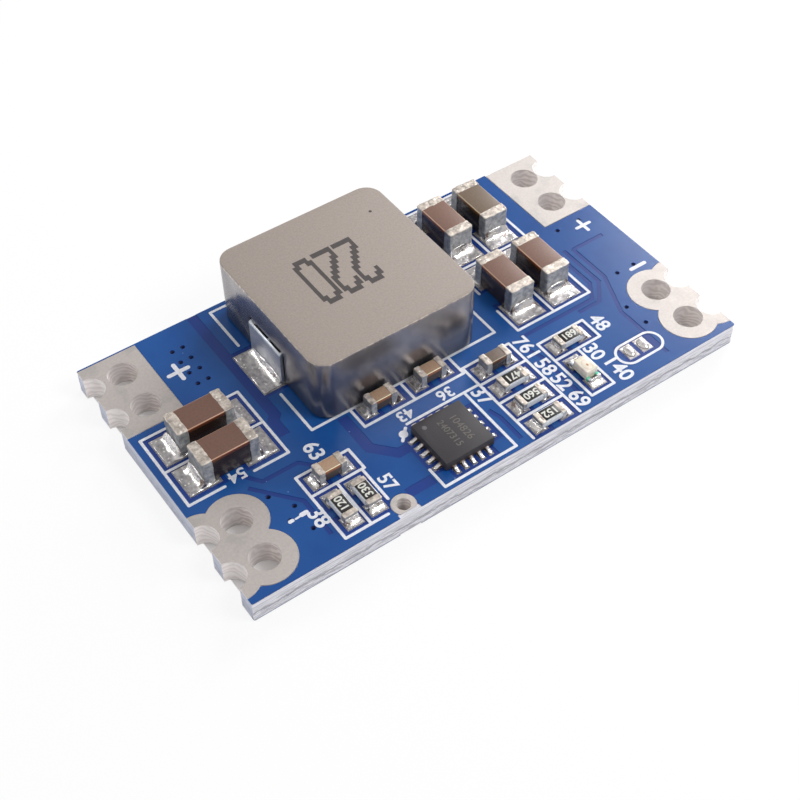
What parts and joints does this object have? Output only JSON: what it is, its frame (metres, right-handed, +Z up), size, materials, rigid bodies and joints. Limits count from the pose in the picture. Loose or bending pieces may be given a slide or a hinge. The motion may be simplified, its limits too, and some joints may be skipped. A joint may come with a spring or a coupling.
{
  "type": "buck converter module",
  "caption": "Flat step-down converter board with a square moulded inductor, chip capacitors, a small controller and tinned corner terminals with holes and half-holes.",
  "frame": {"origin": "centre of the underside, on the plane of the terminal pads that the module rests on", "axes": "+Z up from the board to the parts, +X along the board from the input end to the output end, +Y towards the edge with the plus terminals and the inductor"},
  "size_m": [0.0302, 0.0176, 0.0054],
  "materials": {
    "laminate": "glass-fibre laminate, pale, matt at its sawn edges",
    "solder_mask": "blue solder mask, satin to glossy",
    "legend": "white printed ink",
    "tinned_copper": "hot-tinned copper, slightly uneven",
    "solder": "bright solder, reflowed",
    "pressed_core": "pressed metal powder, warm grey, matt on top and smoother at the sides",
    "tinned_strip": "tinned copper strip",
    "package": "dark moulding compound, matt",
    "indicator_base": "small green laminate",
    "lens": "milky clear resin",
    "resistor_coat": "black glass coat",
    "alumina": "white fired alumina",
    "chip_ends": "tinned end metal",
    "brown_ceramic": "brown fired ceramic, smooth",
    "tan_ceramic": "tan fired ceramic, smooth",
    "grey_ceramic": "grey-brown fired ceramic, smooth"
  },
  "bodies": {
    "root": {"pcb_laminate": "laminate", "solder_mask_top": "solder_mask", "solder_mask_bottom": "solder_mask", "legend_top": "legend", "input_plus_terminal": "tinned_copper", "input_minus_terminal": "tinned_copper", "output_plus_terminal": "tinned_copper", "output_minus_terminal": "tinned_copper", "enable_hole_plating": "tinned_copper", "via_barrels": "tinned_copper", "component_lands": "tinned_copper", "solder_joints": "solder", "inductor_core": "pressed_core", "inductor_input_lead": "tinned_strip", "inductor_output_lead": "tinned_strip", "controller_package": "package", "controller_leads": "tinned_strip", "indicator_base": "indicator_base", "indicator_terminals": "tinned_strip", "indicator_lens": "lens", "input_capacitor_1": "brown_ceramic", "input_capacitor_1_ends": "chip_ends", "input_capacitor_2": "brown_ceramic", "input_capacitor_2_ends": "chip_ends", "output_capacitor_1": "brown_ceramic", "output_capacitor_1_ends": "chip_ends", "output_capacitor_2": "brown_ceramic", "output_capacitor_2_ends": "chip_ends", "output_capacitor_3": "brown_ceramic", "output_capacitor_3_ends": "chip_ends", "output_capacitor_4": "brown_ceramic", "output_capacitor_4_ends": "chip_ends", "small_capacitor_1": "tan_ceramic", "small_capacitor_1_ends": "chip_ends", "small_capacitor_2": "tan_ceramic", "small_capacitor_2_ends": "chip_ends", "small_capacitor_3": "tan_ceramic", "small_capacitor_3_ends": "chip_ends", "small_capacitor_4": "grey_ceramic", "small_capacitor_4_ends": "chip_ends", "resistor_1": "alumina", "resistor_1_coat": "resistor_coat", "resistor_1_ends": "chip_ends", "resistor_2": "alumina", "resistor_2_coat": "resistor_coat", "resistor_2_ends": "chip_ends", "resistor_3": "alumina", "resistor_3_coat": "resistor_coat", "resistor_3_ends": "chip_ends", "resistor_4": "alumina", "resistor_4_coat": "resistor_coat", "resistor_4_ends": "chip_ends", "resistor_5": "alumina", "resistor_5_coat": "resistor_coat", "resistor_5_ends": "chip_ends", "resistor_6": "alumina", "resistor_6_coat": "resistor_coat", "resistor_6_ends": "chip_ends"}
  },
  "joints": []
}
